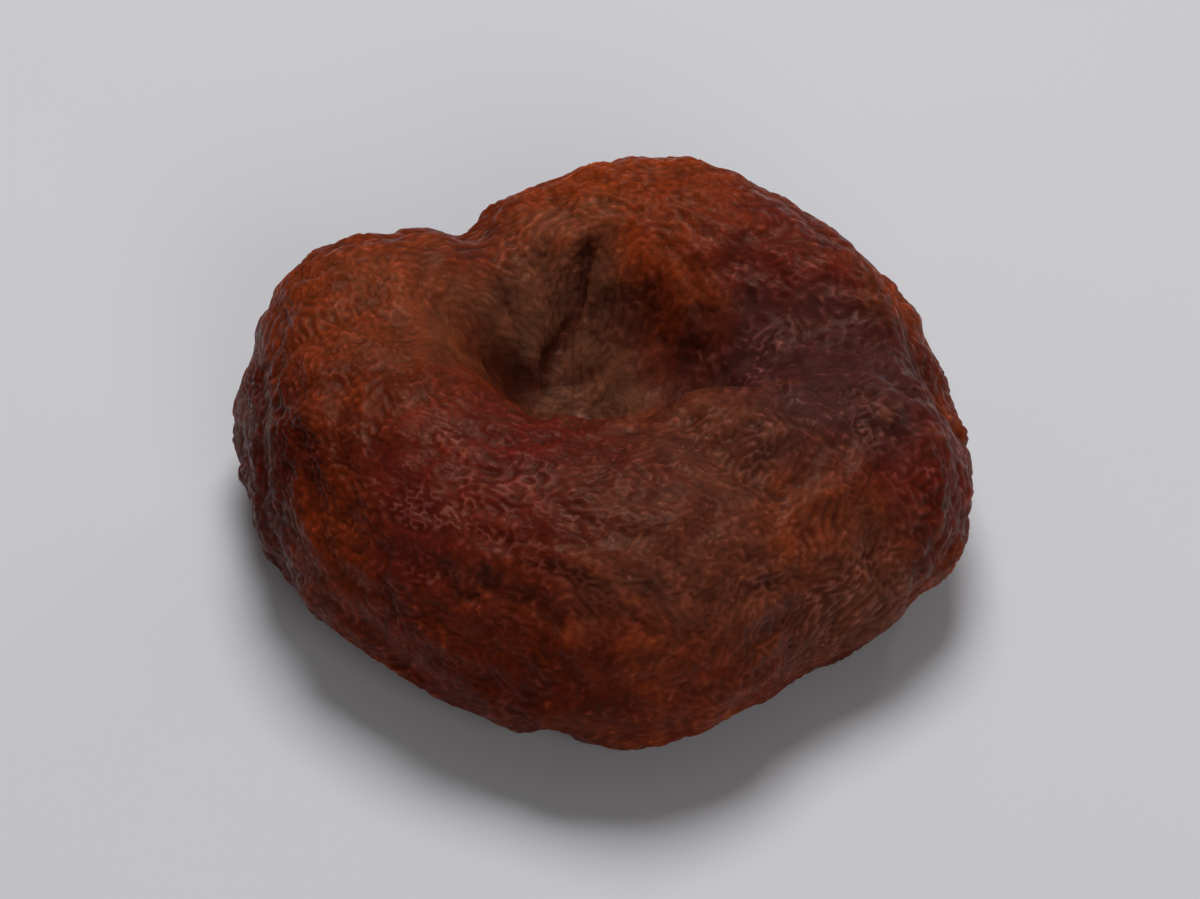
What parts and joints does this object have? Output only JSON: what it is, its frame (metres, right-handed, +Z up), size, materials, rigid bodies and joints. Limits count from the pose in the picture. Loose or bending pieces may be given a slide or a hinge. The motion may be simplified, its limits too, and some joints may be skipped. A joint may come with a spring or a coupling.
{
  "type": "dried apricot",
  "caption": "Whole dried apricot, stoned and pressed flat: a fat rolled rim round a deep off-centre dimple, with creased, finely wrinkled leathery skin. Rests on a small flat spot.",
  "frame": {"origin": "middle of the fruit's outline seen from above, on the surface that it rests on", "axes": "+Z up out of the dimple, +X along the widest way across the fruit, towards the side where the shallow valley runs out, +Y from the front of the fruit to its back"},
  "size_m": [0.039, 0.037, 0.0144],
  "materials": {
    "dried_skin": "satin, wrinkled, slightly translucent"
  },
  "bodies": {
    "root": {"apricot": "dried_skin"}
  },
  "joints": []
}
